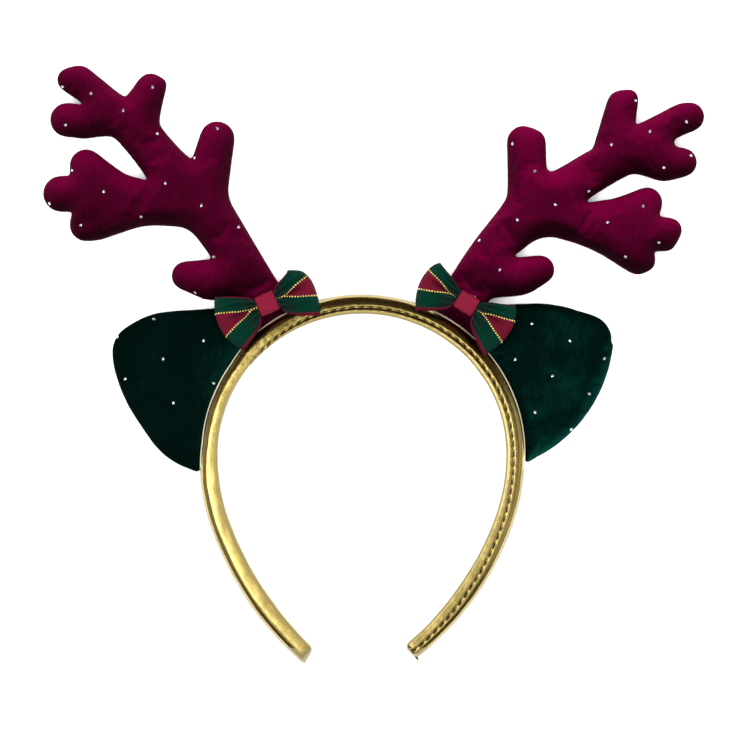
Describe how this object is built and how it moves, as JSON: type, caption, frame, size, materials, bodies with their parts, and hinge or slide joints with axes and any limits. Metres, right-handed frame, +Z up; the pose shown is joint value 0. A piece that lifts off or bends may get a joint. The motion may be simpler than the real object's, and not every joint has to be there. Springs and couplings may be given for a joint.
{
  "type": "reindeer antler headband",
  "caption": "Costume headband with two stuffed velvet antlers, two padded velvet ears and two striped ribbon bows on a gold padded hoop.",
  "frame": {"origin": "centre of the headband's box in X and Y, on the table it lies on", "axes": "+X across the head to the right of the picture, +Y from the hoop's open end to its crown and the antlers, +Z up from the table, towards the front of the headband"},
  "size_m": [0.264, 0.238, 0.0166],
  "materials": {
    "gold_sleeve": "metallic gold foil on soft leathercloth, glossy",
    "burgundy_velvet": "short-pile velvet",
    "green_velvet": "short-pile velvet",
    "striped_ribbon": "ribbed ribbon, green and crimson stripes with gold thread",
    "crimson_ribbon": "satin ribbon"
  },
  "bodies": {
    "root": {"band": "gold_sleeve", "antler_left": "burgundy_velvet", "antler_right": "burgundy_velvet", "ear_left": "green_velvet", "ear_right": "green_velvet", "bow_left_ribbon": "striped_ribbon", "bow_left_knot": "crimson_ribbon", "bow_right_ribbon": "striped_ribbon", "bow_right_knot": "crimson_ribbon"}
  },
  "joints": []
}
